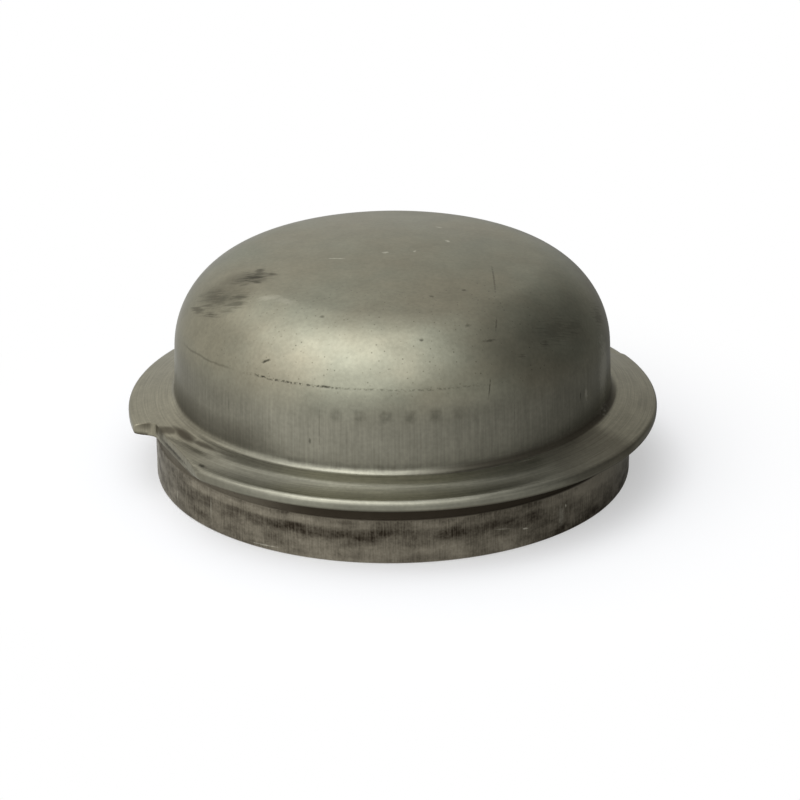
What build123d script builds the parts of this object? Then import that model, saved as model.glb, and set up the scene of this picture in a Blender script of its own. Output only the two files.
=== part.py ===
# Hub grease cap drawn from one sheet of steel: crowned dome, plain wall, folded flange and press-fit skirt.
# Lengths are millimetres and angles degrees. The origin is the centre of the skirt's bottom rim, and +Z
# points out of the hub. The camera side of the cap is -Y.
import os
from math import atan2, cos, degrees, hypot, radians, sin, sqrt, tan

from build123d import *

# Sheet and skirt, from the rim up to the flange's seat
sheet = 0.65
skirt_radius = 31.0
skirt_height = 8.2
lead_in_radius = 0.45
neck_depth = 0.15
neck_height = 2.2
seat_fillet = 0.3
skirt_bend = 1.3

# Dome, from the seat up
dome_height = 21.7
wall_inset = 2.47
wall_draft = 2.07
wall_fillet = 1.05
shoulder_radius = 11.3
crown_radius = 116.0

# Flange: the sheet folded double, its upper face a shallow cone that falls towards the edge
flange_width = 3.45
cone_slope = 15.0
edge_top_radius = 0.4
edge_bottom_radius = 0.55

# Gutters pressed into the flange, in front and behind. They leave an ear on the left and on the right.
ledge_inset = 4.1
dish_depth = 0.17
lip_inset = 0.4
lip_round = 0.6
lip_bevel_width = 0.45
lip_bevel_height = 0.8
crest_drop = 0.03
front_gutter_start = 222.0
back_gutter_start = 24.0
gutter_deepest = 33.0
gutter_sweep = 128.0
gutter_tilt = 0.54
gutter_shift = 0.6

# Pry notch through both sheets of the flange, at the front end of the left ear
notch_angle = 203.6
notch_depth = 2.58
notch_ear_side = 3.55
notch_lean = 30.0
notch_corner_radius = 1.7

# Crimp beside the notch: a flat pressed into the cone, deepest by the ear, which runs out at the front gutter
crimp_angle = 212.1
crimp_inset = 4.35
crimp_rise = 0.58
crimp_tilt = 3.5
crimp_ear_side = 1.5
crimp_lip_side = 6.7
crimp_lean = 69.0
crimp_side = 35.0

# Places that follow from the sizes above
flange_radius = skirt_radius + flange_width
hem = 2 * sheet
cap_height = skirt_height + dome_height
cutter_height = skirt_height + 4 * sheet + flange_width
cutter_reach = flange_radius + flange_width


def polar(centre, radius, angle):
    return (centre[0] + radius * cos(radians(angle)), centre[1] + radius * sin(radians(angle)))


def arc(centre, radius, first, last):
    middle = polar(centre, radius, (first + last) / 2)
    return ThreePointArc(polar(centre, radius, first), middle, polar(centre, radius, last))


def crossing(point, angle, other, other_angle):
    # The place where two lines meet, each given by a point and a direction
    ax, ay = polar((0, 0), 1, angle)
    bx, by = polar((0, 0), 1, other_angle)
    along = ((other[0] - point[0]) * by - (other[1] - point[1]) * bx) / (ax * by - ay * bx)
    return polar(point, along, angle)


def shoulder_place(wall_foot):
    # Centre of the arc that touches the drafted wall and, from inside, the crown
    up = polar((0, 0), 1, 90 + wall_draft)
    start = polar(wall_foot, shoulder_radius, 180 + wall_draft)
    rise = start[1] - (cap_height - crown_radius)
    along = start[0] * up[0] + rise * up[1]
    reach = crown_radius - shoulder_radius
    climb = sqrt(along ** 2 - start[0] ** 2 - rise ** 2 + reach ** 2) - along
    return polar(start, climb, 90 + wall_draft)


def wall_section():
    # Half section of the cap: outside from the crown down to the rim, then back up inside, one sheet away
    edge_top = (flange_radius, skirt_height + hem)
    cone = 180 - cone_slope
    cone_inside = polar(edge_top, sheet, cone + 90)
    wall_foot = (skirt_radius - wall_inset, skirt_height)
    wall_inside = polar(wall_foot, sheet, 180 + wall_draft)
    crown_centre = (0, cap_height - crown_radius)
    shoulder_centre = shoulder_place(wall_foot)
    crown_end = degrees(atan2(shoulder_centre[1] - crown_centre[1], shoulder_centre[0]))

    foot = crossing(wall_foot, 90 + wall_draft, edge_top, cone)
    foot_inside = crossing(wall_inside, 90 + wall_draft, cone_inside, cone)
    bend_inside = crossing((skirt_radius - sheet, 0), 90, cone_inside, cone)
    edge_bottom = (flange_radius, skirt_height)
    neck_top = (skirt_radius - neck_depth, skirt_height)
    neck_bottom = (skirt_radius - neck_depth, skirt_height - neck_height)
    land_top = (skirt_radius, skirt_height - neck_height - neck_depth)
    rim = (skirt_radius, 0)
    rim_inside = (skirt_radius - sheet, 0)
    rounds = [
        (foot, wall_fillet),
        (edge_top, edge_top_radius),
        (edge_bottom, edge_bottom_radius),
        (neck_top, seat_fillet),
        (rim, lead_in_radius),
        (bend_inside, skirt_bend),
        (foot_inside, wall_fillet + sheet),
    ]
    with BuildSketch() as section:
        with BuildLine():
            arc(crown_centre, crown_radius, 90, crown_end)
            outside = arc(shoulder_centre, shoulder_radius, crown_end, wall_draft)
            inside = arc(shoulder_centre, shoulder_radius - sheet, wall_draft, crown_end)
            Polyline(outside @ 1, foot, edge_top, edge_bottom, neck_top, neck_bottom, land_top, rim, rim_inside,
                     bend_inside, foot_inside, inside @ 0)
            arc(crown_centre, crown_radius - sheet, crown_end, 90)
            Line((0, cap_height - sheet), (0, cap_height))
        make_face()
        for corner, radius in rounds:
            fillet(section.vertices().sort_by_distance((*corner, 0))[0], radius)
    return Plane.XZ * section.sketch


def gutter_section():
    # What the press takes off the cone: a shallow dish from the ledge to the lip's crest, then the lip's round edge
    # and the bevel under it
    tool_radius = flange_radius + gutter_shift
    slope = tan(radians(cone_slope))
    ledge = (tool_radius - ledge_inset, skirt_height + hem + ledge_inset * slope)
    crest_inset = lip_inset + lip_round
    crest = (tool_radius - crest_inset, skirt_height + hem + crest_inset * slope - crest_drop)
    across = (ledge[0] - crest[0], ledge[1] - crest[1])
    chord = degrees(atan2(across[1], across[0]))
    bend = degrees(2 * atan2(2 * dish_depth, hypot(*across)))
    above = polar(ledge, sheet, chord - bend)
    lowest = polar((crest[0] + across[0] / 2, crest[1] + across[1] / 2), dish_depth, chord + 90)
    lip_centre = (crest[0], crest[1] - lip_round)
    lip = polar(lip_centre, lip_round, 0)
    bevel = (lip[0], skirt_height + lip_bevel_height)
    bevel_end = polar(bevel, 2 * lip_bevel_height, 270 - degrees(atan2(lip_bevel_width, lip_bevel_height)))
    with BuildSketch() as section:
        with BuildLine():
            Polyline((above[0], cutter_height), above, ledge)
            ThreePointArc(ledge, lowest, crest)
            arc(lip_centre, lip_round, 90, 0)
            Polyline(lip, bevel, bevel_end, (cutter_reach, bevel_end[1]), (cutter_reach, cutter_height),
                     (above[0], cutter_height))
        make_face()
    return Plane.XZ * section.sketch


def gutter(start):
    # The press is shifted and tilted about its deepest place, so the gutter starts sharply and climbs out at its
    # far end, where the lip regains its full width
    cut = revolve(gutter_section(), Axis.Z, gutter_sweep).rotate(Axis.Z, -gutter_deepest)
    deepest = Axis((flange_radius - ledge_inset / 2, 0, skirt_height + hem), (0, 1, 0))
    return (Pos(-gutter_shift, 0, 0) * cut).rotate(deepest, gutter_tilt).rotate(Axis.Z, start + gutter_deepest)


def notch():
    # A straight cut along a chord, closed by a shoulder that leans away under the ear
    chord = flange_radius - notch_depth
    corner = (chord, -notch_ear_side)
    lean = polar(corner, cutter_reach, -notch_lean)
    with BuildSketch() as outline:
        with BuildLine():
            Polyline(corner, lean, (cutter_reach, cutter_reach), (chord, cutter_reach), corner)
        make_face()
        fillet(outline.vertices().sort_by_distance((*corner, 0))[0], notch_corner_radius)
    cut = extrude(outline.sketch, cutter_height)
    return (Pos(0, 0, skirt_height - sheet) * cut).rotate(Axis.Z, notch_angle)


def crimp():
    # A flat floor with sides that slope outwards, slanted where it meets the ear and tilted to fall towards it
    inner = flange_radius - crimp_inset
    ear_end = crossing((inner, -crimp_ear_side), -crimp_lean, (cutter_reach, 0), 90)
    with BuildSketch() as outline:
        with BuildLine():
            Polyline((inner, -crimp_ear_side), ear_end, (cutter_reach, crimp_lip_side), (inner, crimp_lip_side),
                     (inner, -crimp_ear_side))
        make_face()
    cut = extrude(outline.sketch, hem, taper=-crimp_side).rotate(Axis.X, crimp_tilt)
    return (Pos(0, 0, skirt_height + hem + crimp_rise) * cut).rotate(Axis.Z, crimp_angle)


cap = revolve(wall_section(), Axis.Z)
for cutter in (gutter(front_gutter_start), gutter(back_gutter_start), crimp(), notch()):
    cap = cap - cutter

os.makedirs("parts", exist_ok=True)
export_step(cap, "parts/grease_cap.step")
size = cap.bounding_box().size
print("grease_cap", "solids", len(cap.solids()), "volume", round(cap.volume, 1), "size", size)
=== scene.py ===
import math

import bpy
import numpy as np
from mathutils import Matrix, Vector


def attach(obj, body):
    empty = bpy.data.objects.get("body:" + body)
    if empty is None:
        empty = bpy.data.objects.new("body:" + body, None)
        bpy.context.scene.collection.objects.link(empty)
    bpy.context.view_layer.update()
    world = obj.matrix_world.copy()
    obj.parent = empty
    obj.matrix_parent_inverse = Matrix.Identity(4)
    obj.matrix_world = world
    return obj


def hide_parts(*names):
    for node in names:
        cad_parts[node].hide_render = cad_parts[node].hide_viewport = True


# Hub grease cap: one drawn steel pressing, standing on its skirt. Sizes are millimetres, meshes metres.
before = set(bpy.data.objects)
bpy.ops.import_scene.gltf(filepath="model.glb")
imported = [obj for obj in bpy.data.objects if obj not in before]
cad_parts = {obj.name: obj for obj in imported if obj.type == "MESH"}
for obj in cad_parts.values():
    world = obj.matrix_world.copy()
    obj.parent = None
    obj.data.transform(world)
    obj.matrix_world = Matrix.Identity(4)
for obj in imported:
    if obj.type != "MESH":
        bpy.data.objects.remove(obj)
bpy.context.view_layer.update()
mm = 0.001
print("frame loaded:", sorted(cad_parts))

# Sizes of the pressing, as the solid has them, with the fillet at the wall's foot a little tighter.
# Rows are those of the mesh on the crown, the shoulder, the wall and the fillet.
cap = {
    "sheet": 0.65,
    "skirtRadius": 31.0,
    "skirtHeight": 8.2,
    "leadIn": 0.45,
    "neckDepth": 0.15,
    "neckHeight": 2.2,
    "seatFillet": 0.3,
    "skirtBend": 1.3,
    "domeHeight": 21.7,
    "wallInset": 2.47,
    "wallDraft": 2.07,
    "wallFillet": 0.85,
    "shoulderRadius": 11.3,
    "crownRadius": 116.0,
    "flangeWidth": 3.45,
    "coneSlope": 15.0,
    "outerRows": (16, 34, 12, 8),
    "innerRows": (6, 16, 4, 5),
    "creaseRow": 0.06,
    "sharpFrom": 42.0,
}
flangeRadius = cap["skirtRadius"] + cap["flangeWidth"]
hem = 2 * cap["sheet"]
flangeTop = cap["skirtHeight"] + hem
capHeight = cap["skirtHeight"] + cap["domeHeight"]


def polar(centre, radius, angle):
    # points at a distance and an angle in degrees from a centre, the angle one number or an array
    turn = np.radians(angle)
    return np.stack([centre[0] + radius * np.cos(turn), centre[1] + radius * np.sin(turn)], -1)


def crossing(point, angle, other, otherAngle):
    # where two lines meet, each from a point in a direction
    ax, ay = polar((0, 0), 1, angle)
    bx, by = polar((0, 0), 1, otherAngle)
    along = ((other[0] - point[0]) * by - (other[1] - point[1]) * bx) / (ax * by - ay * bx)
    return polar(point, along, angle)


def rounded(before, corner, after, radius, count):
    # a polyline's corner as an arc of that radius, tangent to both sides
    corner = np.array(corner, float)
    inWay = np.array(before, float) - corner
    outWay = np.array(after, float) - corner
    inWay /= np.linalg.norm(inWay)
    outWay /= np.linalg.norm(outWay)
    half = math.acos(np.clip(inWay @ outWay, -1, 1)) / 2
    centre = corner + (inWay + outWay) / np.linalg.norm(inWay + outWay) * radius / math.sin(half)
    first = corner + inWay * radius / math.tan(half) - centre
    last = corner + outWay * radius / math.tan(half) - centre
    start = math.degrees(math.atan2(first[1], first[0]))
    sweep = math.degrees(math.atan2(last[1], last[0])) - start
    sweep = (sweep + 180) % 360 - 180
    return polar(centre, radius, start + sweep * np.linspace(0, 1, count))


def between(first, last, share):
    # a share of the way from one value to another
    return first + (last - first) * share


def straight(first, last, count):
    # evenly spaced points between two places, without the ends
    share = np.linspace(0, 1, count + 2)[1:-1, None]
    return between(np.array(first), np.array(last), share)


def smoothMin(a, b, width):
    # the lower of two heights, with the crease between them rounded over a width
    share = np.clip(0.5 + 0.5 * (b - a) / width, 0, 1)
    return b * (1 - share) + a * share - width * share * (1 - share)


def smoothStep(low, high, value):
    # nought up to a low value and one from a high one, eased at both ends
    share = np.clip((value - low) / (high - low), 0, 1)
    return share * share * (3 - 2 * share)


# Half sections that are the same all round: dome outside, then seat, skirt and inside
draft = cap["wallDraft"]
cone = 180 - cap["coneSlope"]
wallFoot = np.array([cap["skirtRadius"] - cap["wallInset"], cap["skirtHeight"]])
edgeTop = np.array([flangeRadius, flangeTop])
crownCentre = np.array([0, capHeight - cap["crownRadius"]])
# the shoulder's centre slides up along the wall until its arc touches the crown from inside
shoulderStart = polar(wallFoot, cap["shoulderRadius"], 180 + draft)
upWall = polar((0, 0), 1, 90 + draft)
crownReach = cap["crownRadius"] - cap["shoulderRadius"]
along = (shoulderStart - crownCentre) @ upWall
away = (shoulderStart - crownCentre) @ (shoulderStart - crownCentre)
shoulderCentre = shoulderStart + upWall * (math.sqrt(along ** 2 - away + crownReach ** 2) - along)
crownEnd = math.degrees(math.atan2(*(shoulderCentre - crownCentre)[::-1]))


def domeSection(inset, filletRadius, counts):
    # crown arc, shoulder arc, drafted wall and the fillet into the cone, all one inset inside the outside
    crownTurns = np.linspace(90, crownEnd, counts[0] + 1)[1:]
    crown = polar(crownCentre, cap["crownRadius"] - inset, crownTurns)
    shoulderTurns = np.linspace(crownEnd, draft, counts[1] + 1)[1:]
    shoulder = polar(shoulderCentre, cap["shoulderRadius"] - inset, shoulderTurns)
    conePoint = polar(edgeTop, inset, cone + 90)
    foot = crossing(shoulder[-1], 90 + draft, conePoint, cone)
    fillet = rounded(shoulder[-1], foot, conePoint, filletRadius, counts[3])
    wall = straight(shoulder[-1], fillet[0], counts[2])
    return np.concatenate([crown, shoulder, wall, fillet])


outerDome = domeSection(0, cap["wallFillet"], cap["outerRows"])
innerDome = domeSection(cap["sheet"], cap["wallFillet"] + cap["sheet"], cap["innerRows"])


def skirtSection():
    # from the seat under the flange down the neck and the press land, round the rim and up inside to
    # the dome, with a row close to each crease
    radius = cap["skirtRadius"]
    seatHeight = cap["skirtHeight"]
    neck = radius - cap["neckDepth"]
    neckFoot = seatHeight - cap["neckHeight"]
    inside = radius - cap["sheet"]
    crease = cap["creaseRow"]
    coneInside = polar(edgeTop, cap["sheet"], cone + 90)
    bendPoint = crossing((inside, 0), 90, coneInside, cone)
    seat = rounded((flangeRadius, seatHeight), (neck, seatHeight), (neck, 0), cap["seatFillet"], 4)
    land = (radius, neckFoot - cap["neckDepth"])
    step = [(neck, neckFoot + crease), (neck + crease / 2, neckFoot), land, (radius, land[1] - crease)]
    leadIn = rounded(land, (radius, 0), (inside, 0), cap["leadIn"], 5)
    rim = [(inside + crease, 0), (inside, crease)]
    bend = rounded((inside, 0), bendPoint, innerDome[-1], cap["skirtBend"], 5)
    return np.concatenate([
        seat, step, straight(land, leadIn[0], 4), leadIn, rim,
        straight((inside, 0), bend[0], 3), bend, straight(bend[-1], innerDome[-1], 2)])


# Flange: a cone with a gutter pressed in front and behind, a pry notch and the crimp beside it
flange = {
    "ledgeInset": 4.1,
    "dishDepth": 0.17,
    "lipInset": 0.4,
    "lipRound": 0.6,
    "lipBevelHeight": 0.8,
    "crestDrop": 0.03,
    "gutterStarts": (222.0, 24.0),
    "gutterDeepest": 33.0,
    "gutterSweep": 128.0,
    "gutterTilt": 0.54,
    "gutterShift": 0.6,
    "gutterCrease": 0.06,
    "startEase": 0.6,
    "startSlope": 0.02,
    "notchAngle": 203.6,
    "notchDepth": 2.58,
    "notchEarSide": 3.55,
    "notchLean": 30.0,
    "notchRound": 2.4,
    "notchBlend": 0.35,
    "crimpAngle": 212.1,
    "crimpInset": 4.35,
    "crimpRise": 0.58,
    "crimpTilt": 3.5,
    "crimpEarSide": 1.5,
    "crimpLipSide": 6.7,
    "crimpLean": 69.0,
    "crimpSide": 35.0,
    "crimpCrease": 0.45,
    "crimpRound": 0.9,
    "cutSpan": 34.0,
    "runOnAngle": 218.5,
    "runOnReach": 5.5,
    "runOnRadius": 30.72,
    "runOnWidth": 0.45,
    "runOnDepth": 0.13,
    "edgeTopRadius": 0.4,
    "edgeBottomRadius": 0.55,
    "edgeLeast": 0.02,
    "shearRadius": 0.16,
    "shearFrom": (0.15, 0.9),
    "boxMargin": 0.014,
    "plainRows": 4,
    "dishRows": 29,
    "bendRows": 5,
    "seatRows": (0.35, 0.7, 0.92),
    "ledgeSpare": 0.55,
}
coneFall = math.tan(math.radians(cap["coneSlope"]))


def turned(angle, zero):
    # an angle in degrees measured from a zero, between -180 and 180
    return (angle - zero + 180) % 360 - 180


def lipCut(angle):
    # how far the gutters draw the lip in: full at the deepest place, nothing where the shifted press
    # leaves the edge
    cut = np.zeros_like(angle)
    for start in flange["gutterStarts"]:
        past = turned(angle, start)
        fromDeepest = np.radians(turned(angle, start + flange["gutterDeepest"]))
        depth = flange["lipInset"] - flange["gutterShift"] * (1 - np.cos(fromDeepest))
        begun = smoothStep(-flange["startEase"], flange["startEase"], past)
        cut = np.maximum(cut, np.where(past < flange["gutterSweep"], depth, 0) * begun)
    return cut


def edgeRadius(angle):
    # outer radius of the flange: ears at full width, lips drawn in, and at the notch a chord and a
    # leaning shoulder; the least values only keep the divisions safe
    radius = flangeRadius - lipCut(angle)
    aside = turned(angle, flange["notchAngle"])
    fromNotch = np.radians(aside)
    chord = flangeRadius - flange["notchDepth"]
    chordLine = chord / np.maximum(np.cos(fromNotch), 0.2)
    lean = math.tan(math.radians(flange["notchLean"]))
    leaning = np.maximum(np.sin(fromNotch) + lean * np.cos(fromNotch), 0.05)
    shoulder = (lean * chord - flange["notchEarSide"]) / leaning
    cut = -smoothMin(-chordLine, -shoulder, flange["notchRound"])
    notched = smoothMin(radius, cut, flange["notchBlend"])
    return np.where(np.abs(aside) < flange["cutSpan"], notched, radius) - flange["boxMargin"]


def gutterDish(radius, angle, start):
    # height of a gutter's dish: an arc from the ledge to the lip's crest, turned about the shifted and
    # tilted press, which rises gently before its start and behind its end
    fromDeepest = np.radians(turned(angle, start + flange["gutterDeepest"]))
    shift = flange["gutterShift"]
    reach = np.hypot(radius * np.cos(fromDeepest) + shift, radius * np.sin(fromDeepest))
    inset = flangeRadius + shift - reach
    crestInset = flange["lipInset"] + flange["lipRound"]
    crest = flangeTop + crestInset * coneFall - flange["crestDrop"]
    ledge = flangeTop + flange["ledgeInset"] * coneFall
    share = (inset - crestInset) / (flange["ledgeInset"] - crestInset)
    dish = between(crest, ledge, share) - 4 * flange["dishDepth"] * share * (1 - share)
    dish = np.where(share < 0, crest, dish)
    away = flangeRadius - flange["ledgeInset"] / 2 - radius * np.cos(fromDeepest)
    dish = dish + away * math.tan(math.radians(flange["gutterTilt"]))
    past = turned(angle, start)
    outside = np.maximum(-past, 0) + np.maximum(past - flange["gutterSweep"], 0)
    return dish + outside * flange["startSlope"]


def crimpFloor(radius, angle):
    # height of the crimp: a flat that falls towards the ear, with sides that rise from its inner line,
    # its slanted ear end and its lip end
    aside = turned(angle, flange["crimpAngle"])
    turn = np.radians(aside)
    out = radius * np.cos(turn) - (flangeRadius - flange["crimpInset"])
    along = radius * np.sin(turn)
    lean = math.radians(flange["crimpLean"])
    pastEar = -(along + flange["crimpEarSide"]) * math.cos(lean) - out * math.sin(lean)
    pastLip = along - flange["crimpLipSide"]
    sides = -smoothMin(-np.maximum(-out, pastLip), -pastEar, flange["crimpRound"])
    beyond = -smoothMin(-sides, 0, flange["crimpRound"])
    floor = flangeTop + flange["crimpRise"] + along * math.tan(math.radians(flange["crimpTilt"]))
    height = floor + beyond / math.tan(math.radians(flange["crimpSide"]))
    return np.where(np.abs(aside) < flange["cutSpan"], height, capHeight)


def flangeHeight(radius, angle):
    # height of the flange's upper face: the lowest of the cone, both gutters and the crimp, whose inner
    # side runs on into the front gutter as a groove with a bell-shaped section
    height = flangeTop + (flangeRadius - radius) * coneFall
    for start in flange["gutterStarts"]:
        height = smoothMin(height, gutterDish(radius, angle, start), flange["gutterCrease"])
    along = turned(angle, flange["runOnAngle"]) / flange["runOnReach"]
    across = (radius - flange["runOnRadius"]) / flange["runOnWidth"]
    height = height - flange["runOnDepth"] * np.exp(-along ** 2 - across ** 2)
    return smoothMin(height, crimpFloor(radius, angle), flange["crimpCrease"])


# A shallow knock in the wall, right of the front
dent = {
    "angle": 328.8,
    "height": 15.5,
    "depth": 0.16,
    "reach": (0.75, 1.1),
}


def dentDepth(angle, height):
    # a soft round hollow: the depth falls off as a bell curve round the cap and up the wall
    aside = np.radians(turned(angle, dent["angle"])) * wallFoot[0] / dent["reach"][0]
    above = (height - dent["height"]) / dent["reach"][1]
    return dent["depth"] * np.exp(-aside ** 2 - above ** 2)


# Columns stand closer together at the notch, the crimp and the gutters' ends. Each run is from, to and
# step in degrees.
columnSteps = [
    (0, 20, 1.2), (20, 28, 0.4), (28, 146, 1.3), (146, 156, 1.0), (156, 190, 1.2), (190, 194, 0.6),
    (194, 199, 0.12), (199, 214, 0.4), (214, 226, 0.2), (226, 338, 0.8), (338, 360, 1.2),
]
columns = np.concatenate([np.arange(first, last - 1e-6, step) for first, last, step in columnSteps])


def capGrid():
    # rows of radius and height over all columns, from the crown's pole outside to the crown's pole inside
    wide = np.ones_like(columns)
    rows = [(radius - dentDepth(columns, height), height * wide) for radius, height in outerDome]
    outline = edgeRadius(columns)
    lipShare = lipCut(columns) / flange["lipInset"]
    edgeRound = between(flange["edgeTopRadius"], flange["lipRound"], lipShare)
    seatRound = between(flange["edgeBottomRadius"], flange["lipBevelHeight"], lipShare)
    # the notch is sheared, so its edges are nearly sharp
    sheared = smoothStep(*flange["shearFrom"], flangeRadius - lipCut(columns) - outline)
    edgeRound = between(edgeRound, flange["shearRadius"], sheared)
    seatRound = between(seatRound, flange["shearRadius"], sheared)
    # the upper face: a few rows up to the ledge, then close ones over the dish to the edge
    footEnd = outerDome[-1][0]
    dishStart = flangeRadius - flange["ledgeInset"] - flange["ledgeSpare"]
    topEdge = outline - edgeRound
    runs = [(footEnd, dishStart, flange["plainRows"]), (dishStart, topEdge, flange["dishRows"])]
    for first, last, count in runs:
        for share in np.linspace(0, 1, count + 1)[1:]:
            radius = between(first, last, share) * wide
            rows.append((radius, flangeHeight(radius, columns)))
    # the edge: one bend from the upper face to the side, one from the side to the seat
    topHeight = rows[-1][1]
    cornerHeight = flangeHeight(outline, columns)
    bottom = cap["skirtHeight"]
    sideTop = np.maximum(cornerHeight - edgeRound, bottom + seatRound + flange["edgeLeast"])
    bendShares = np.linspace(0, 1, flange["bendRows"] + 1)
    for share in bendShares[1:]:
        rest = 1 - share
        radius = rest ** 2 * topEdge + (1 - rest ** 2) * outline
        height = rest ** 2 * topHeight + 2 * share * rest * cornerHeight + share ** 2 * sideTop
        rows.append((radius, height))
    for share in bendShares:
        rows.append((outline - seatRound * share ** 2, bottom + seatRound * (1 - share) ** 2))
    under = skirtSection()
    for share in flange["seatRows"]:
        rows.append((between(outline - seatRound, under[0][0], share), bottom * wide))
    rows += [(radius * wide, height * wide) for radius, height in (*under, *innerDome[::-1])]
    # the inside begins about halfway along the skirt's rows, at the rim
    insideFrom = len(rows) - len(innerDome) - len(under) // 2
    return np.array(rows), insideFrom


gridRows, insideFrom = capGrid()
print("section rows:", gridRows.shape[0], "columns:", len(columns))


def capMesh(name):
    # the grid wound round the axis, with a fan of triangles on the crown's pole outside and inside
    turn = np.radians(columns)
    radius = gridRows[:, 0]
    height = gridRows[:, 1]
    points = np.stack([radius * np.cos(turn), radius * np.sin(turn), height], -1)
    rowCount, columnCount = radius.shape
    poles = np.array([[0, 0, capHeight], [0, 0, capHeight - cap["sheet"]]])
    corners = np.concatenate([points.reshape(-1, 3), poles]) * mm
    index = np.arange(rowCount * columnCount).reshape(rowCount, columnCount)
    beside = np.roll(index, -1, 1)
    quads = np.stack([index[:-1], index[1:], beside[1:], beside[:-1]], -1).reshape(-1, 4)
    topPole = np.full(columnCount, rowCount * columnCount)
    topFan = np.stack([topPole, index[0], beside[0]], -1)
    underFan = np.stack([topPole + 1, beside[-1], index[-1]], -1)
    mesh = bpy.data.meshes.new(name)
    mesh.from_pydata(corners.tolist(), [], quads.tolist() + topFan.tolist() + underFan.tolist())
    mesh.validate()
    mesh.shade_smooth()
    mesh.set_sharp_from_angle(angle=math.radians(cap["sharpFrom"]))
    inner = np.zeros((rowCount, columnCount), np.float32)
    inner[insideFrom:] = 1
    flag = mesh.attributes.new("inner", "FLOAT", "POINT")
    flag.data.foreach_set("value", np.concatenate([inner.ravel(), [0, 1]]).astype(np.float32))
    mesh.update()
    return mesh


capPiece = bpy.data.objects.new("drawn_cap", capMesh("drawn_cap"))
bpy.context.scene.collection.objects.link(capPiece)
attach(capPiece, "root")
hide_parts("grease_cap")
print("cap mesh:", len(capPiece.data.polygons), "faces")


def linear(hexColour):
    # sRGB hex to linear red, green, blue and alpha
    parts = np.array([int(hexColour[i:i + 2], 16) for i in (1, 3, 5)]) / 255
    parts = np.where(parts <= 0.04045, parts / 12.92, ((parts + 0.055) / 1.055) ** 2.4)
    return (*parts.tolist(), 1.0)


def addNode(tree, kind, inputs=None, **settings):
    # one node of a kind: settings are its properties, inputs its sockets by name or number, each
    # linked or set
    node = tree.nodes.new("ShaderNode" + kind)
    for name, value in settings.items():
        setattr(node, name, value)
    for socket, value in (inputs or {}).items():
        if isinstance(value, bpy.types.NodeSocket):
            tree.links.new(value, node.inputs[socket])
        else:
            node.inputs[socket].default_value = value
    return node


def newMaterial(name):
    # an empty node material and its tree
    material = bpy.data.materials.new(name)
    material.use_nodes = True
    material.node_tree.nodes.clear()
    return material, material.node_tree


# Bare deep-drawn mild steel: cold-rolled sheet pressed in a die and never plated. It shows a satin grey
# with a warm tint, fine upright streaks where the die ironed the wall, a broken dark ring where the draw
# paused, rolled-in pits, handling scuffs, and brown press grime on the skirt. Painted shade darkens the
# gap under the flange, the crimp by the notch, the crease at the wall's foot, the lip's underside and the
# flange's right side, and a painted reflection darkens the left wall. Painted highlights light a glint on
# the right fillet, a strip near the wall's right edge and the top of the press land, and painted light
# lifts the skirt's right side.
steelLook = {
    "coolSteel": "#7a7a6b",
    "warmSteel": "#7f7b6a",
    "wallSteel": "#7c7a6d",
    "flangeSteel": "#7f7b6b",
    "gutterSteel": "#7e7d70",
    "skirtSteel": "#7f796b",
    "edgeTint": (0.7, 0.7, 0.68, 1.0),
    # brown press grime, also the colour of the painted shade and shadow
    "grimeAndShade": "#2b251d",
    # dark colour of the ring, blotches, pits, scuffs and scratches, also laid as the painted shadow at
    # the notch
    "scuff": "#2e2c25",
    # pale marks, also the colour of the painted glint and highlight
    "bright": "#c9c6b6",
    "roughness": 0.33,
    "flangeRoughness": 0.3,
    "grimeRoughness": 0.6,
    "reliefStrength": 0.12,
    "reliefHeight": 0.06,
    "ringHeight": 19.4,
    "ringTilt": 0.08,
    "ringTowards": 262.0,
    "ringWidth": 0.22,
    "blotchStep": 6.25,
    "blotchTurn": -91.9,
    "blotchFrom": -0.4,
    "pitSpacing": 0.68,
    "pitRadius": 0.13,
    "pitCore": 0.039,
    "pitShade": (0.06, 0.62),
    "scuffLean": 25.0,
    "markReach": 1.7,
    "markEdge": (0.26, 0.82),
    "skirtBase": 0.49,
}

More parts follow.
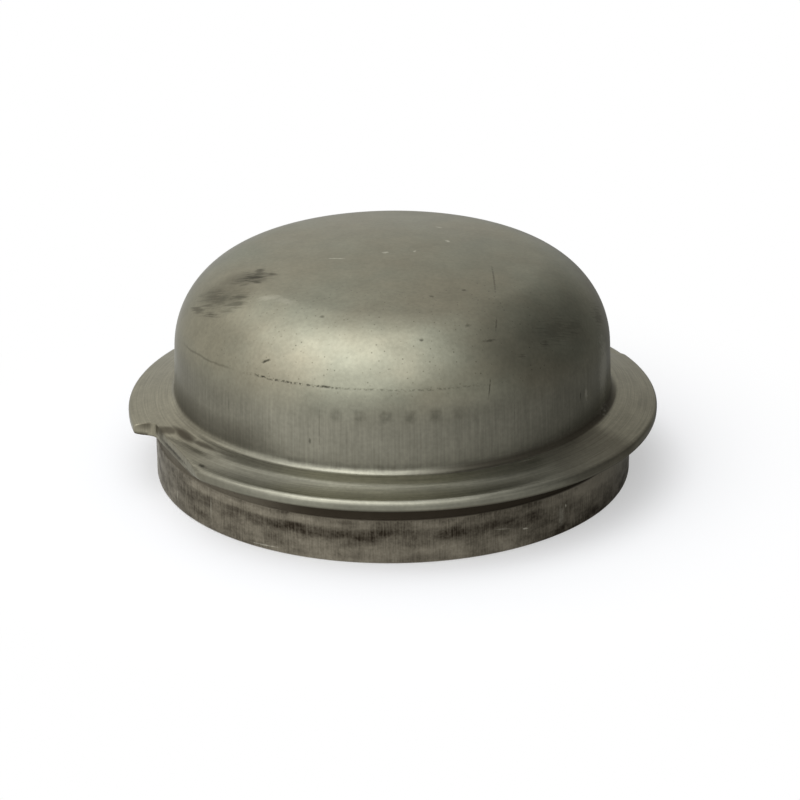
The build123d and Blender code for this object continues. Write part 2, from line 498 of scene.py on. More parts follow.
# Noise on the steel: the size of its cells in millimetres, the span of the noise that is used, the levels
# that span is stretched between, its detail, and an offset that sets it apart. Grain, streaks and specks
# are drawn a little coarser than real ones, so that they show. The press lines run round the cap, so
# their first two sizes are shares of the radius and the third is along it.
steelNoise = {
    "clouds": ((13, 13, 9), (0.36, 0.64), (0.0, 1.0), 3.0, (0, 0, 0)),
    "mottle": ((3.2, 3.2, 2.4), (0.3, 0.7), (0.93, 1.06), 3.0, (5, 2, 8)),
    "grain": ((0.5, 0.5, 0.5), (0.3, 0.7), (0.94, 1.06), 1.0, (0, 0, 0)),
    "wallStreaks": ((0.3, 0.3, 14.0), (0.3, 0.7), (-0.1, 0.1), 2.0, (0, 0, 0)),
    "pressLines": ((0.25, 0.25, 0.17), (0.3, 0.7), (-0.15, 0.15), 1.0, (0, 0, 0)),
    "ringWobble": ((2.6, 2.6, 2.6), (0.3, 0.7), (-0.12, 0.12), 3.0, (1, 7, 3)),
    "ringFlecks": ((0.36, 0.36, 0.3), (0.42, 0.62), (0.0, 0.95), 2.0, (3, 9, 1)),
    "blotches": ((0.8, 0.8, 0.8), (0.3, 0.7), (0.14, 0.52), 3.0, (8, 4, 2)),
    "scuffFray": ((1.7, 4.0, 0.17), (0.3, 0.7), (-0.24, 0.44), 3.0, (2, 5, 6)),
    "scratchFray": ((0.4, 0.4, 0.4), (0.3, 0.7), (-0.12, 0.2), 2.0, (9, 1, 4)),
    "skirtPatches": ((3.0, 3.0, 1.4), (0.34, 0.66), (-0.2, 0.22), 5.0, (4, 4, 4)),
    "skirtStreaks": ((0.17, 0.17, 2.4), (0.3, 0.7), (-0.14, 0.14), 3.0, (6, 3, 0)),
    "skirtSpecks": ((0.3, 0.3, 0.3), (0.3, 0.7), (-0.09, 0.09), 2.0, (2, 8, 5)),
    "footFray": ((1.2, 1.2, 2.0), (0.3, 0.7), (0.05, 0.4), 2.0, (7, 7, 1)),
    "satin": ((6, 6, 6), (0.3, 0.7), (0.93, 1.08), 3.0, (1, 1, 9)),
    "relief": ((0.35, 0.35, 0.35), (0.0, 1.0), (0.0, 1.0), 2.0, (3, 3, 3)),
}

# Places on the steel. Heights and radii have four edges: nought up to the first, full between the second
# and the third, nought past the fourth. Facing is an angle round the cap and the degrees from it at which
# the place ends and is full. A place on another one is also limited by that.
steelPlaces = {
    "skirt": {"heights": (-2, -1, 8.15, 8.5)},
    "wall": {"heights": (10.8, 11.6, 16.0, 22.0)},
    "dome": {"heights": (11.0, 11.8, 40, 41)},
    "flange": {"heights": (8.3, 8.8, 11.6, 12.2), "radii": (28.3, 28.5, 40, 41), "on": "outer"},
    "frontGutter": {"facing": (270, 62, 24)},
    "ringFlecks": {"facing": (243, 17, 8)},
    "fewerFlecks": {"facing": (268, 36, 10), "amount": 0.45},
    "ringLine": {"facing": (211, 16, 5), "amount": 0.35},
    "blotches": {"heights": (17.2, 18.1, 18.7, 19.4), "facing": (271, 26, 8)},
    "pits": {"heights": (19.5, 22, 28.6, 29.6), "facing": (272, 75, 40)},
    # the wall's foot: crease dirt with painted shade in the crease
    "wallFoot": {"heights": (11.2, 11.5, 11.7, 12.4), "radii": (27.5, 28, 28.8, 29.1)},
    # painted shadow in the gap under the flange, thinner on the left
    "underFlangeShadow": {"heights": (5.6, 6.0, 8.1, 8.35), "amount": 0.94},
    "underFlangeShadowThin": {"facing": (208, 44, 20), "amount": 0.3},
}

# Grime on the skirt is a sum of these, with lighter places below nought, and above it the strongest
# holds.
# Two lighter places are painted light: a painted highlight along the top of the press land, and the
# right side lifted against the card's dark reflection. The lighter foot in front is wear.
skirtGrimeAndPaintedLight = {
    "wornBand": {"heights": (2.7, 3.6, 4.2, 4.9), "facing": (272, 62, 34), "amount": 0.24},
    "wetFoot": {"heights": (-2, -1, 0.8, 2.4), "facing": (328, 32, 14), "amount": 0.35},
    "leftEnd": {"facing": (205, 18, 10), "amount": 0.08},
    # painted highlight: a lighter band along the top of the press land, where its edge catches the light
    "paintedHighlightTop": {"heights": (4.5, 4.9, 5.35, 5.8), "facing": (233, 28, 16), "amount": -0.22},
    "cleanFoot": {"heights": (-2, -1, 1.6, 3.2), "facing": (274, 34, 18), "amount": -0.2},
    # painted light: the right side of the skirt lifted against the card's dark reflection
    "paintedLightRight": {"heights": (2.4, 4.6, 5.8, 6.6), "facing": (333, 29, 14), "amount": -0.52},
}
# Darker places above the skirt, of which the strongest holds: painted shade in the crease at the right
# foot, under the flange's lip and over the flange's right side, a painted dark reflection on the left
# wall, and the lower wall and the flange darker on the left front
upperDarkening = {
    # painted shade: the fillet at the wall's foot darkened on the right, away from the light
    "rightFootShade": {"heights": (10.5, 10.8, 11.3, 12.2), "radii": (28.0, 28.3, 28.9, 29.4),
                  "facing": (319, 50, 24), "amount": 0.82},
    # the lower wall darker on the left
    "leftFoot": {"heights": (11.0, 11.6, 13.0, 18.0), "radii": (27.5, 28, 28.8, 29.1),
                 "facing": (214, 32, 8), "amount": 0.52},
    # painted reflection: the left wall darkened where it mirrors the floor
    "leftWallReflection": {"heights": (11.5, 12.5, 17.0, 22.0), "facing": (210, 30, 8), "on": "dome",
                 "amount": 0.34},
    # painted shade under the flange's lip, along its lower edge
    "lipUnderShade": {"heights": (8.0, 8.1, 8.25, 8.85), "radii": (32.6, 33.0, 40, 41), "amount": 0.75},
    # the flange darker on its left front, which dims its highlights there
    "leftFlangeDimmer": {"facing": (224, 30, 12), "on": "flange", "amount": 0.28},
    # painted shade: the flange darkened on its right side, away from the light
    "rightFlangeShade": {"facing": (320, 14, 8), "on": "flange", "amount": 0.42},
}

# Marks, each between two places given by angle, radius and height, with half its width and a strength
steelMarks = {
    "scuff": [
        ((198.2, 18.7, 28.4), (201.6, 17.7, 28.57), 1.4, 0.8),
        ((193.0, 17.2, 28.6), (196.5, 17.5, 28.57), 0.6, 0.6),
        ((204.5, 19.0, 28.33), (206.0, 18.6, 28.41), 0.4, 0.6),
        ((197.6, 20.8, 27.83), (199.2, 19.2, 28.29), 1.2, 0.36),
        ((201.8, 20.6, 27.9), (204.2, 19.8, 28.14), 0.4, 0.45),
        ((206.0, 22.6, 26.98), (211.0, 21.3, 27.63), 0.75, 0.55),
        ((207.2, 23.4, 26.46), (214.0, 22.3, 27.15), 0.6, 0.5),
        ((193.0, 24.4, 25.68), (207.0, 22.9, 26.8), 1.4, 0.38),
        ((197.2, 25.0, 25.1), (202.5, 24.3, 25.77), 0.4, 0.4),
        ((208.2, 24.2, 25.85), (212.5, 23.7, 26.25), 0.5, 0.34),
        ((191.5, 26.0, 23.93), (202.8, 25.2, 24.9), 0.5, 0.5),
        ((201.0, 25.3, 24.78), (207.5, 24.9, 25.2), 0.5, 0.6),
        ((318.0, 25.6, 24.4), (326.0, 25.5, 24.5), 1.7, 0.3),
        ((316.0, 26.04, 23.87), (317.0, 26.04, 23.87), 0.7, 0.5),
        ((346.0, 26.74, 22.77), (350.0, 26.74, 22.77), 1.3, 0.3),
        ((329.0, 26.0, 23.9), (334.0, 26.0, 23.9), 1.2, 0.28),
        ((307.0, 26.35, 23.41), (307.4, 26.35, 23.41), 0.45, 0.4),
    ],
    "scratchesAndShade": [
        ((233.2, 26.66, 22.91), (235.5, 26.34, 23.43), 0.2, 0.85),
        ((340.5, 13.43, 29.12), (314.0, 18.52, 28.41), 0.12, 0.42),
        ((199.0, 31.97, 8.88), (222.0, 33.5, 8.88), 0.12, 0.75),
        ((305.5, 22.09, 27.26), (302.5, 23.6, 26.33), 0.14, 0.6),
        ((296.8, 24.45, 25.63), (301.2, 24.55, 25.54), 0.2, 0.65),
        ((296.0, 27.12, 22.05), (294.5, 28.0, 19.35), 0.12, 0.7),
        ((302.2, 27.72, 20.46), (301.8, 28.26, 15.66), 0.09, 0.35),
        ((326.2, 28.25, 16.4), (326.2, 28.25, 15.3), 0.13, 0.75),
        ((251.5, 28.2, 20.0), (251.5, 28.35, 13.0), 0.09, 0.3),
        ((249.0, 28.3, 14.9), (249.0, 28.3, 14.3), 0.18, 0.5),
        ((214.0, 28.2, 19.0), (214.0, 28.35, 15.0), 0.09, 0.3),
        ((224.0, 28.2, 18.4), (224.0, 28.35, 15.2), 0.1, 0.3),
        ((245.0, 20.7, 27.87), (246.0, 20.7, 27.87), 0.22, 0.5),
        ((294.0, 22.3, 27.15), (295.0, 22.3, 27.15), 0.26, 0.5),
        ((278.5, 23.5, 26.4), (279.0, 23.5, 26.4), 0.22, 0.6),
        ((305.0, 15.53, 28.86), (306.0, 15.53, 28.86), 0.24, 0.5),
        ((288.0, 15.48, 28.86), (289.0, 15.48, 28.86), 0.24, 0.45),
        # painted shadow: the dark nick in the pocket by the lip's corner at the notch
        ((223.2, 32.9, 10.0), (225.0, 33.0, 10.0), 0.34, 0.85),
    ],
    "stainsAndShade": [
        # The first six are painted shade: the crimp's valley and slopes by the notch, the ledge's crease
        # beyond it, and the shadow lines under the flange along the notch's cut face and under the ear's
        # end. The last two are stains on the left shoulder.
        ((201.0, 32.2, 10.0), (207.0, 30.3, 10.2), 0.8, 0.75),
        ((203.5, 30.5, 10.2), (215.0, 30.05, 10.3), 0.75, 0.85),
        ((212.0, 30.1, 10.35), (224.0, 30.1, 10.45), 0.5, 0.75),
        ((221.0, 30.0, 10.5), (231.0, 29.75, 10.7), 0.38, 0.5),
        ((200.0, 31.9, 8.5), (221.0, 33.3, 8.5), 0.35, 0.5),
        ((196.0, 34.4, 9.55), (197.6, 32.4, 9.95), 0.34, 0.75),
        ((195.0, 23.6, 26.3), (208.0, 21.6, 27.5), 2.4, 0.4),
        ((194.0, 22.0, 27.3), (201.0, 18.2, 28.45), 2.2, 0.34),
    ],
    "bright": [
        ((217.5, 20.5, 27.94), (222.5, 19.1, 28.3), 0.6, 0.14),
        ((222.0, 19.6, 28.2), (231.0, 19.3, 28.27), 0.5, 0.1),
        # painted glint: a thin highlight on the fillet at the right
        ((301.0, 29.35, 10.75), (307.0, 29.45, 10.72), 0.09, 0.6),
        ((222.7, 31.0, 5.1), (222.4, 31.0, 1.4), 0.07, 0.26),
        # painted highlight: a lighter strip near the wall's right edge
        ((343.0, 28.1, 19.0), (341.0, 28.4, 13.5), 2.2, 0.4),
        ((207.6, 31.0, 3.0), (207.4, 31.0, 1.1), 0.1, 0.35),
        ((301.0, 31.0, 2.62), (302.2, 31.0, 2.5), 0.1, 0.5),
        ((313.8, 31.0, 3.95), (313.8, 31.0, 3.6), 0.13, 0.6),
        ((312.3, 31.0, 3.7), (312.3, 31.0, 1.6), 0.6, 0.16),
        ((293.0, 31.0, 3.44), (297.7, 31.0, 3.1), 0.08, 0.2),
        ((235.0, 31.0, 0.6), (243.0, 31.0, 0.8), 0.1, 0.35),
        ((197.8, 8.7, 29.57), (207.5, 6.75, 29.7), 0.13, 0.55),
        ((240.0, 1.7, 29.89), (245.0, 1.6, 29.89), 0.34, 0.55),
        ((339.2, 3.14, 29.86), (345.0, 3.1, 29.86), 0.2, 0.5),
        ((23.8, 8.04, 29.62), (26.8, 8.04, 29.62), 0.26, 0.6),
        ((55.9, 11.5, 29.33), (58.9, 11.5, 29.33), 0.2, 0.45),
        ((329.6, 28.27, 14.9), (329.6, 28.27, 16.0), 0.35, 0.3),
    ],
}


def combine(tree, operation, *values):
    # several values taken together, two at a time
    result = values[0]
    for value in values[1:]:
        result = addNode(tree, "Math", {0: result, 1: value}, operation=operation).outputs[0]
    return result


def overlaid(tree, colour, *layers):
    # a colour with others laid over it in turn, each by a share from nought to one
    for share, over in layers:
        mixed = addNode(tree, "Mix", {0: share, 6: colour, 7: over}, data_type="RGBA")
        colour = mixed.outputs[2]
    return colour


def noiseLayer(tree, spot, name):
    # noise in cells of a size, with a span of it stretched between two levels
    size, span, levels, detail, offset = steelNoise[name]
    cells = addNode(tree, "Mapping", {
        "Vector": spot, "Location": offset, "Scale": tuple(1 / side for side in size)})
    noise = addNode(tree, "TexNoise", {
        "Vector": cells.outputs[0], "Scale": 1.0, "Detail": detail})
    return addNode(tree, "MapRange", {
        "Value": noise.outputs[0], "From Min": span[0], "From Max": span[1],
        "To Min": levels[0], "To Max": levels[1]}).outputs[0]


def band(tree, value, edges):
    # nought up to the first edge, one between the second and the third, nought past the fourth
    rise = addNode(tree, "MapRange", {
        "Value": value, "From Min": edges[0], "From Max": edges[1]}, interpolation_type="SMOOTHSTEP")
    fall = addNode(tree, "MapRange", {
        "Value": value, "From Min": edges[2], "From Max": edges[3], "To Min": 1.0, "To Max": 0.0},
        interpolation_type="SMOOTHSTEP")
    return combine(tree, "MULTIPLY", rise.outputs[0], fall.outputs[0])


def sector(tree, around, angle, edge, full):
    # one within some degrees of a direction round the cap, nought past the edge
    middle = (*polar((0, 0), 1, angle), 0)
    near = addNode(tree, "VectorMath", {0: around, 1: middle}, operation="DOT_PRODUCT")
    return addNode(tree, "MapRange", {
        "Value": near.outputs["Value"], "From Min": math.cos(math.radians(edge)),
        "From Max": math.cos(math.radians(full))}, interpolation_type="SMOOTHSTEP").outputs[0]


def patch(tree, at, heights=None, radii=None, facing=None, on=None, amount=1.0):
    # an amount where all that limits a place holds, with soft edges, and nought elsewhere
    limits = [amount]
    if heights:
        limits.append(band(tree, at["height"], heights))
    if radii:
        limits.append(band(tree, at["radius"], radii))
    if facing:
        limits.append(sector(tree, at["around"], *facing))
    if on:
        limits.append(at[on])
    return combine(tree, "MULTIPLY", *limits)


def markLayer(tree, spot, kind, fray):
    # the strongest of a set of marks: each is a soft ellipsoid stretched between its ends and along the
    # surface, and one shared noise frays them all
    low, high = steelLook["markEdge"]
    layer = 0.0
    for first, last, width, strength in steelMarks[kind]:
        start, end = [Vector((*polar((0, 0), place[1], place[0]), place[2])) for place in (first, last)]
        middle = (start + end) / 2
        along = end - start
        outward = middle - Vector((0, 0, shoulderCentre[1]))
        if cap["skirtHeight"] < middle.z < flangeTop + hem:
            outward = Vector((0, 0, 1))
        across = outward.cross(along).normalized()
        way = along.normalized()
        turn = Matrix((way, across, way.cross(across))).transposed().to_euler()
        reach = Vector((along.length / 2 + width, width, 3 * width)) * steelLook["markReach"]
        local = addNode(tree, "Mapping", {
            "Vector": spot, "Location": middle, "Rotation": turn, "Scale": reach}, vector_type="TEXTURE")
        near = addNode(tree, "TexGradient", {"Vector": local.outputs[0]},
                       gradient_type="SPHERICAL")
        frayed = combine(tree, "SUBTRACT", near.outputs[1], fray)
        mark = addNode(tree, "MapRange", {
            "Value": frayed, "From Min": low, "From Max": high, "To Min": 0.0, "To Max": strength},
            interpolation_type="SMOOTHSTEP").outputs[0]
        layer = combine(tree, "MAXIMUM", layer, mark)
    return layer


def steelPoint(tree):
    # what the layers read at a point of the steel: its place in millimetres, its direction and distance
    # from the axis, its height, whether it is on the outside, and how far it is on each stretch
    place = addNode(tree, "TexCoord").outputs["Object"]
    spot = addNode(tree, "VectorMath", {0: place, "Scale": 1 / mm}, operation="SCALE").outputs[0]
    flat = addNode(tree, "VectorMath", {0: spot, 1: (1, 1, 0)}, operation="MULTIPLY").outputs[0]
    sides = addNode(tree, "SeparateXYZ", {0: spot}).outputs
    inner = addNode(tree, "Attribute", attribute_name="inner").outputs["Fac"]
    at = {
        "spot": spot,
        "x": sides["X"],
        "y": sides["Y"],
        "height": sides["Z"],
        "radius": addNode(tree, "VectorMath", {0: flat}, operation="LENGTH").outputs["Value"],
        "around": addNode(tree, "VectorMath", {0: flat}, operation="NORMALIZE").outputs[0],
        "outer": combine(tree, "SUBTRACT", 1.0, inner),
    }
    for stretch in ("skirt", "wall", "dome", "flange"):
        at[stretch] = patch(tree, at, **steelPlaces[stretch])
    return at


def sheetColour(tree, at):
    # rolled sheet in cool and warm clouds, toned by mottle and grain, by the die's upright streaks on the
    # wall and by the press lines round the flange
    look = steelLook
    spot = at["spot"]
    inGutter = patch(tree, at, **steelPlaces["frontGutter"])
    pressed = overlaid(tree, linear(look["flangeSteel"]), (inGutter, linear(look["gutterSteel"])))
    steel = overlaid(tree, linear(look["coolSteel"]),
                     (noiseLayer(tree, spot, "clouds"), linear(look["warmSteel"])),
                     (at["wall"], linear(look["wallSteel"])), (at["flange"], pressed),
                     (at["skirt"], linear(look["skirtSteel"])))
    outWay = addNode(tree, "CombineXYZ", {"Z": at["radius"]}).outputs[0]
    ringSpot = addNode(tree, "VectorMath", {0: at["around"], 1: outWay}, operation="ADD")
    tone = combine(tree, "MULTIPLY", noiseLayer(tree, spot, "mottle"), noiseLayer(tree, spot, "grain"))
    runs = [("wall", spot, "wallStreaks"), ("flange", ringSpot.outputs[0], "pressLines")]
    for stretch, where, name in runs:
        streaks = addNode(tree, "Math", {
            0: noiseLayer(tree, where, name), 1: at[stretch], 2: 1.0}, operation="MULTIPLY_ADD")
        tone = combine(tree, "MULTIPLY", tone, streaks.outputs[0])
    return addNode(tree, "VectorMath", {0: steel, "Scale": tone}, operation="SCALE").outputs[0]


def drawRing(tree, at):
    # the broken ring: a thin wavy band near a tilted plane, flecked in front and a faint line on the left
    look = steelLook
    slope = polar((0, 0), -look["ringTilt"], look["ringTowards"])
    above = addNode(tree, "VectorMath", {0: at["spot"], 1: (*slope, 1)}, operation="DOT_PRODUCT")
    above = combine(tree, "ADD", above.outputs["Value"], noiseLayer(tree, at["spot"], "ringWobble"))
    middle = look["ringHeight"]
    ring = band(tree, above, (middle - look["ringWidth"], middle, middle, middle + look["ringWidth"]))
    flecked = combine(tree, "MAXIMUM", patch(tree, at, **steelPlaces["ringFlecks"]),
                      patch(tree, at, **steelPlaces["fewerFlecks"]))
    flecks = combine(tree, "MULTIPLY", noiseLayer(tree, at["spot"], "ringFlecks"), flecked)
    line = patch(tree, at, **steelPlaces["ringLine"])
    return combine(tree, "MULTIPLY", ring, combine(tree, "MAXIMUM", flecks, line))


def blotchRow(tree, at):
    # dark blotches at an even step round the cap, below the ring: a cosine of the angle over broken noise
    beats = 360 / steelLook["blotchStep"]
    turn = addNode(tree, "Math", {0: at["y"], 1: at["x"]}, operation="ARCTAN2").outputs[0]
    beat = addNode(tree, "Math", {
        0: turn, 1: beats, 2: -beats * math.radians(steelLook["blotchTurn"])}, operation="MULTIPLY_ADD")
    wave = addNode(tree, "Math", {0: beat.outputs[0]}, operation="COSINE").outputs[0]
    wave = addNode(tree, "MapRange", {
        "Value": wave, "From Min": steelLook["blotchFrom"], "From Max": 1.0}).outputs[0]
    return combine(tree, "MULTIPLY", noiseLayer(tree, at["spot"], "blotches"), wave,
                   patch(tree, at, **steelPlaces["blotches"]))


def rolledPits(tree, at):
    # pits on the front of the shoulder: a dot in each cell of a pattern, some darker than others
    spacing = steelLook["pitSpacing"]
    cells = addNode(tree, "VectorMath", {0: at["spot"], "Scale": 1 / spacing}, operation="SCALE")
    pits = addNode(tree, "TexVoronoi", {"Vector": cells.outputs[0], "Scale": 1.0}).outputs
    dots = addNode(tree, "MapRange", {
        "Value": pits["Distance"], "From Min": steelLook["pitCore"] / spacing,
        "From Max": steelLook["pitRadius"] / spacing, "To Min": 1.0, "To Max": 0.0}).outputs[0]
    faint, strong = steelLook["pitShade"]
    shade = addNode(tree, "MapRange", {
        "Value": pits["Color"], "From Min": 0.1, "From Max": 0.9,
        "To Min": faint, "To Max": strong}).outputs[0]
    return combine(tree, "MULTIPLY", dots, shade, patch(tree, at, **steelPlaces["pits"]))


def darkMarks(tree, at, scratchFray):
    # ring, blotches, pits and scuffs on the dome, and scratches anywhere outside with a painted shadow at
    # the notch's lip corner; scuffs fray along X
    leant = addNode(tree, "VectorRotate", {
        "Vector": at["spot"], "Angle": math.radians(steelLook["scuffLean"])}, rotation_type="X_AXIS")
    scuffFray = noiseLayer(tree, leant.outputs[0], "scuffFray")
    dark = combine(tree, "MAXIMUM", drawRing(tree, at), blotchRow(tree, at), rolledPits(tree, at),
                   markLayer(tree, at["spot"], "scuff", scuffFray))
    dark = combine(tree, "MULTIPLY", dark, at["dome"])
    dark = combine(tree, "MAXIMUM", dark, markLayer(tree, at["spot"], "scratchesAndShade", scratchFray))
    return combine(tree, "MULTIPLY", dark, at["outer"])


def pressGrimeAndShade(tree, at):
    # grime patchy and streaked on the skirt, with a painted highlight and painted light lifting it;
    # painted shadow in the gap under the flange; a thin line of crease dirt and painted shade at the
    # wall's foot;
    # painted shade, a painted reflection, darker places and stains above
    spot = at["spot"]
    skirt = steelLook["skirtBase"]
    for place in skirtGrimeAndPaintedLight.values():
        skirt = combine(tree, "ADD", skirt, patch(tree, at, **place))
    for name in ("skirtPatches", "skirtStreaks", "skirtSpecks"):
        skirt = combine(tree, "ADD", skirt, noiseLayer(tree, spot, name))
    # painted shadow in the gap under the flange, thinner on the left, laid over the skirt's grime
    gap = combine(tree, "SUBTRACT", patch(tree, at, **steelPlaces["underFlangeShadow"]),
                  patch(tree, at, **steelPlaces["underFlangeShadowThin"]))
    skirt = combine(tree, "MULTIPLY", combine(tree, "MAXIMUM", skirt, gap), at["skirt"], at["outer"])
    # crease dirt with painted shade in the crease along the wall's foot
    upper = combine(tree, "MULTIPLY", patch(tree, at, **steelPlaces["wallFoot"]),
                    noiseLayer(tree, spot, "footFray"))
    for place in upperDarkening.values():
        upper = combine(tree, "MAXIMUM", upper, patch(tree, at, **place))
    # stains, and painted shade in the crimp and along the notch
    upper = combine(tree, "MAXIMUM", upper, markLayer(tree, spot, "stainsAndShade", 0.0))
    return combine(tree, "MAXIMUM", skirt, combine(tree, "MULTIPLY", upper, at["outer"]))


def drawnSteel():
    # bare metal with grime, painted shade and painted light laid on, rougher where grime, painted shade
    # or marks darken it, with a fine relief left by the rolls
    material, tree = newMaterial("bare_drawn_steel")
    look = steelLook
    at = steelPoint(tree)
    steel = sheetColour(tree, at)
    scratchFray = noiseLayer(tree, at["spot"], "scratchFray")
    dark = darkMarks(tree, at, scratchFray)
    # pale specks, smears and rubs, with a painted glint on the right fillet and a painted highlight near
    # the wall's right edge
    paleMarksAndGlints = combine(tree, "MULTIPLY", markLayer(tree, at["spot"], "bright", scratchFray), at["outer"])
    grimeAndShade = pressGrimeAndShade(tree, at)
    colour = overlaid(tree, steel, (grimeAndShade, linear(look["grimeAndShade"])), (dark, linear(look["scuff"])),
                      (paleMarksAndGlints, linear(look["bright"])))
    satin = addNode(tree, "MapRange", {
        "Value": at["flange"], "To Min": look["roughness"], "To Max": look["flangeRoughness"]}).outputs[0]
    roughness = addNode(tree, "Mix", {
        0: combine(tree, "MAXIMUM", grimeAndShade, dark), 2: satin, 3: look["grimeRoughness"]}).outputs[0]
    roughness = combine(tree, "MULTIPLY", roughness, noiseLayer(tree, at["spot"], "satin"))
    bump = addNode(tree, "Bump", {
        "Height": noiseLayer(tree, at["spot"], "relief"), "Strength": look["reliefStrength"],
        "Distance": look["reliefHeight"] * mm})
    shader = addNode(tree, "BsdfPrincipled", {
        "Base Color": colour, "Metallic": 1.0, "Roughness": roughness, "Specular Tint": look["edgeTint"],
        "Normal": bump.outputs[0]})
    addNode(tree, "OutputMaterial", {"Surface": shader.outputs[0]})
    return material


capPiece.data.materials.append(drawnSteel())
print("steel made")

# Studio: pale floor, white surround, soft lamps high and low on the left, a dark card on the right.
# Turns, rises and reaches are degrees seen from the cap, sizes and distances are metres. A lamp is given
# by its turn, rise, size and radiance.
studio = {
    "floorColour": "#f3f4f4",
    "floorSize": 6.0,
    "whiteFrom": 0.034,
    "shadowLift": 0.4,
    "floorTurn": 14.0,
    "floorLevel": 0.28,
    "floorDark": 18.0,
    "floorBright": 1.3,
    "surround": 0.42,
    "frontLevel": 1.05,
    "backLevel": 1.13,
    "backFrom": (-0.2, 0.7),
    "gapTurn": 75.0,
    "gapRise": 53.0,
    "gapDark": 6.0,
    "gapReach": 24.0,
    "gapLevel": 0.62,
    "cardTurn": 13.0,
    "cardRise": 18.0,
    "cardDark": 8.0,
    "cardReach": 72.0,
    "cardLevel": 0.2,
    "cardRim": 1.0,
    "cardAway": 1.3,
    "cardGrid": (24, 60),
    "lampAim": (0, 0, 0.02),
    "lampAway": 0.65,
    "lampStep": 0.01,
    "lampColour": "#fbfbff",
    "lamps": [
        (229.0, 60.0, 0.44, 1.05),  # the bright middle of the source
        (237.0, 57.0, 1.14, 1.05),  # a larger disc behind it
        (134.0, 66.0, 0.84, 0.72),  # carries it over to the back left
        (226.0, 34.0, 1.3, 0.4),  # wide and dim, lower down
    ],
}


def towards(turn, rise):
    # a direction from the cap, by its turn round the upright axis and its rise
    return Vector((*polar((0, 0), math.cos(math.radians(rise)), turn), math.sin(math.radians(rise))))


def shadeAway(tree, way, middle, angles, levels, blend):
    # brightness by direction from the cap: one level near a middle, another past some degrees from it
    toMiddle = addNode(tree, "VectorMath", {0: way}, operation="NORMALIZE").outputs[0]
    near = addNode(tree, "VectorMath", {0: toMiddle, 1: middle}, operation="DOT_PRODUCT")
    return addNode(tree, "MapRange", {
        "Value": near.outputs["Value"], "From Min": math.cos(math.radians(angles[1])),
        "From Max": math.cos(math.radians(angles[0])), "To Min": levels[1], "To Max": levels[0]},
        interpolation_type=blend).outputs[0]


def ceilingGap(tree, way):
    # the backdrop ends in a darker gap below the ceiling, behind the cap
    middle = towards(studio["gapTurn"], studio["gapRise"])
    angles = (studio["gapDark"], studio["gapReach"])
    return shadeAway(tree, way, middle, angles, (studio["gapLevel"], 1.0), "SMOOTHSTEP")


def addStage(name, corners, faces, material):
    # a mesh of the studio, which is not part of the cap
    mesh = bpy.data.meshes.new(name)
    mesh.from_pydata(corners, [], faces)
    mesh.materials.append(material)
    piece = bpy.data.objects.new(name, mesh)
    bpy.context.scene.collection.objects.link(piece)
    return piece


def buildFloor():
    # pale paint that keeps the shadow round the cap and turns to plain white further out; the metal
    # mirrors it white on the left and dark on the right, where the card reaches over it
    material, tree = newMaterial("pale_floor")
    place = addNode(tree, "TexCoord").outputs["Object"]
    path = addNode(tree, "LightPath").outputs
    reach = addNode(tree, "VectorMath", {0: place}, operation="LENGTH")
    far = addNode(tree, "MapRange", {
        "Value": reach.outputs["Value"], "From Min": studio["whiteFrom"],
        "From Max": 2.0 * studio["whiteFrom"], "To Min": studio["shadowLift"]},
        interpolation_type="SMOOTHSTEP")
    white = combine(tree, "MULTIPLY", far.outputs[0], path["Is Camera Ray"])
    mirrored = combine(tree, "MAXIMUM", path["Is Glossy Ray"], path["Is Transmission Ray"])
    paint = addNode(tree, "BsdfDiffuse", {"Color": linear(studio["floorColour"])})
    glow = addNode(tree, "Emission", {"Color": (1, 1, 1, 1), "Strength": 1.0})
    level = shadeAway(tree, place, towards(studio["floorTurn"], 0), (studio["floorDark"], 180),
                      (studio["floorLevel"], studio["floorBright"]), "LINEAR")
    shade = addNode(tree, "Emission", {"Color": (1, 1, 1, 1), "Strength": level})
    seen = addNode(tree, "MixShader", {0: white, 1: paint.outputs[0], 2: glow.outputs[0]})
    blend = addNode(tree, "MixShader", {0: mirrored, 1: seen.outputs[0], 2: shade.outputs[0]})
    addNode(tree, "OutputMaterial", {"Surface": blend.outputs[0]})
    half = studio["floorSize"] / 2
    corners = [(-half, -half, 0), (half, -half, 0), (half, half, 0), (-half, half, 0)]
    addStage("floor", corners, [(0, 1, 2, 3)], material)


def buildCard():
    # a graded card round the right side that only shows in the metal: points of a sphere, its pole turned
    # to the card's middle, as far out as the card's reach
    material, tree = newMaterial("graded_card")
    place = addNode(tree, "TexCoord").outputs["Object"]
    middle = towards(studio["cardTurn"], studio["cardRise"])
    level = shadeAway(tree, place, middle, (studio["cardDark"], studio["cardReach"]),
                      (studio["cardLevel"], studio["cardRim"]), "SMOOTHSTEP")
    level = combine(tree, "MULTIPLY", level, ceilingGap(tree, place))
    glow = addNode(tree, "Emission", {"Color": (1, 1, 1, 1), "Strength": level})
    addNode(tree, "OutputMaterial", {"Surface": glow.outputs[0]})
    rings, spokes = studio["cardGrid"]
    reaches = np.radians(np.linspace(2, studio["cardReach"], rings))
    out, turn = np.meshgrid(reaches, np.radians(np.linspace(0, 360, spokes + 1)))
    side = middle.orthogonal().normalized()
    up = middle.cross(side)
    points = np.cos(out)[..., None] * np.array(middle)
    points = points + (np.sin(out) * np.cos(turn))[..., None] * np.array(side)
    points = points + (np.sin(out) * np.sin(turn))[..., None] * np.array(up)
    points = (points * studio["cardAway"]).reshape(-1, 3)
    points[:, 2] = np.maximum(points[:, 2], mm)
    index = np.arange(out.size).reshape(out.shape)
    faces = np.stack([index[:-1, :-1], index[1:, :-1], index[1:, 1:], index[:-1, 1:]], -1)
    card = addStage("card", points.tolist(), faces.reshape(-1, 4).tolist(), material)
    card.visible_camera = False
    card.visible_diffuse = False
    card.visible_shadow = False


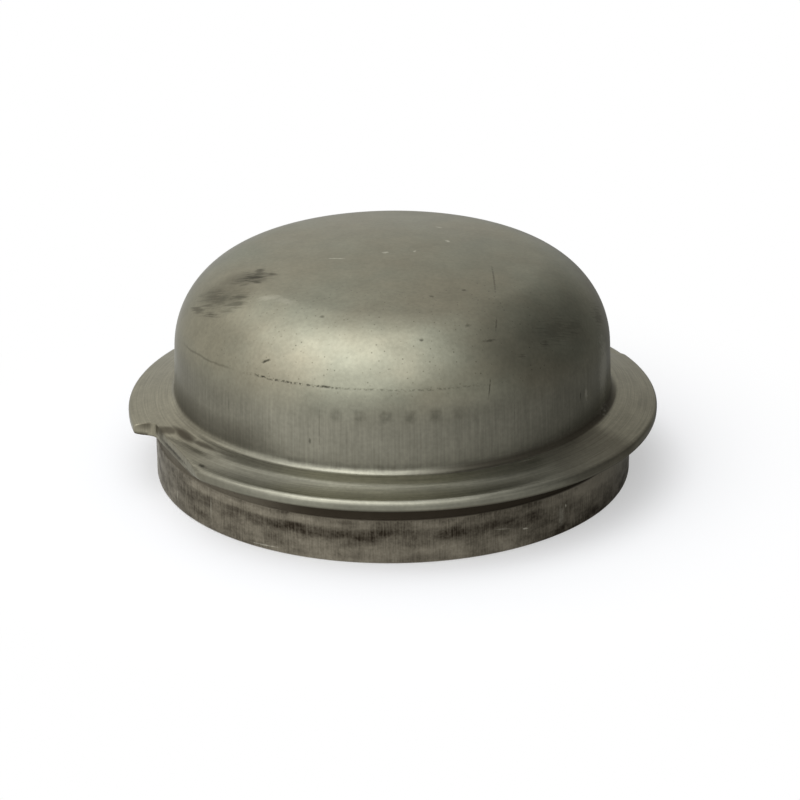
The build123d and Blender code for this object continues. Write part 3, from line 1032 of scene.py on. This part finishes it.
def buildSurround():
    # plain white to the camera, dimmer as fill light; the metal mirrors the room with the ceiling's gap
    world = bpy.data.worlds.new("studio")
    bpy.context.scene.world = world
    world.use_nodes = True
    tree = world.node_tree
    tree.nodes.clear()
    path = addNode(tree, "LightPath").outputs
    place = addNode(tree, "TexCoord").outputs["Generated"]
    behind = addNode(tree, "SeparateXYZ", {0: place}).outputs["Y"]
    low, high = studio["backFrom"]
    room = addNode(tree, "MapRange", {
        "Value": behind, "From Min": low, "From Max": high, "To Min": studio["frontLevel"],
        "To Max": studio["backLevel"]}, interpolation_type="SMOOTHSTEP").outputs[0]
    room = combine(tree, "MULTIPLY", room, ceilingGap(tree, place))
    mirrored = combine(tree, "MAXIMUM", path["Is Glossy Ray"], path["Is Transmission Ray"])
    level = addNode(tree, "Mix", {0: mirrored, 2: studio["surround"], 3: room}).outputs[0]
    level = addNode(tree, "Mix", {0: path["Is Camera Ray"], 2: level, 3: 1.0}).outputs[0]
    light = addNode(tree, "Background", {"Color": (1, 1, 1, 1), "Strength": level})
    addNode(tree, "OutputWorld", {"Surface": light.outputs[0]})


def buildLamps():
    # one soft source made of discs, each a centimetre behind the last; a disc's power is pi times its
    # radiance times its area
    for number, (turn, rise, size, radiance) in enumerate(studio["lamps"]):
        way = towards(turn, rise)
        lamp = bpy.data.lights.new("soft_lamp", "AREA")
        lamp.shape = "DISK"
        lamp.size = size
        lamp.energy = radiance * math.pi * math.pi / 4 * size ** 2
        lamp.color = linear(studio["lampColour"])[:3]
        piece = bpy.data.objects.new("soft_lamp", lamp)
        away = studio["lampAway"] + studio["lampStep"] * number
        piece.location = Vector(studio["lampAim"]) + way * away
        piece.rotation_euler = (-way).to_track_quat("-Z", "Y").to_euler()
        bpy.context.scene.collection.objects.link(piece)


buildFloor()
buildCard()
buildSurround()
buildLamps()
bpy.context.scene.view_settings.view_transform = "Standard"
print("studio built")

# Camera: a long lens 392 mm away, 23 degrees up, aimed at the axis at the flange's height
view = {
    "aim": (0, 0, 8.86),
    "distance": 392.4,
    "elevation": 22.7,
    "roll": -0.45,
    "lens": 135.0,
    "sensor": 36.0,
    "shift": 0.0091,
}


def placeCamera():
    # back from the aim along the elevation, then turned to it and rolled a little
    camera = bpy.data.cameras.new("camera")
    camera.sensor_width = view["sensor"]
    camera.lens = view["lens"]
    camera.shift_x = view["shift"]
    camera.clip_start = 0.01
    cameraObject = bpy.data.objects.new("camera", camera)
    tilt = math.radians(view["elevation"])
    back = Vector((0, -math.cos(tilt), math.sin(tilt))) * view["distance"]
    turn = Matrix.Rotation(math.pi / 2 - tilt, 4, "X")
    turn = turn @ Matrix.Rotation(math.radians(view["roll"]), 4, "Z")
    cameraObject.matrix_world = Matrix.Translation((Vector(view["aim"]) + back) * mm) @ turn
    bpy.context.scene.collection.objects.link(cameraObject)
    bpy.context.scene.camera = cameraObject


placeCamera()
print("camera placed")
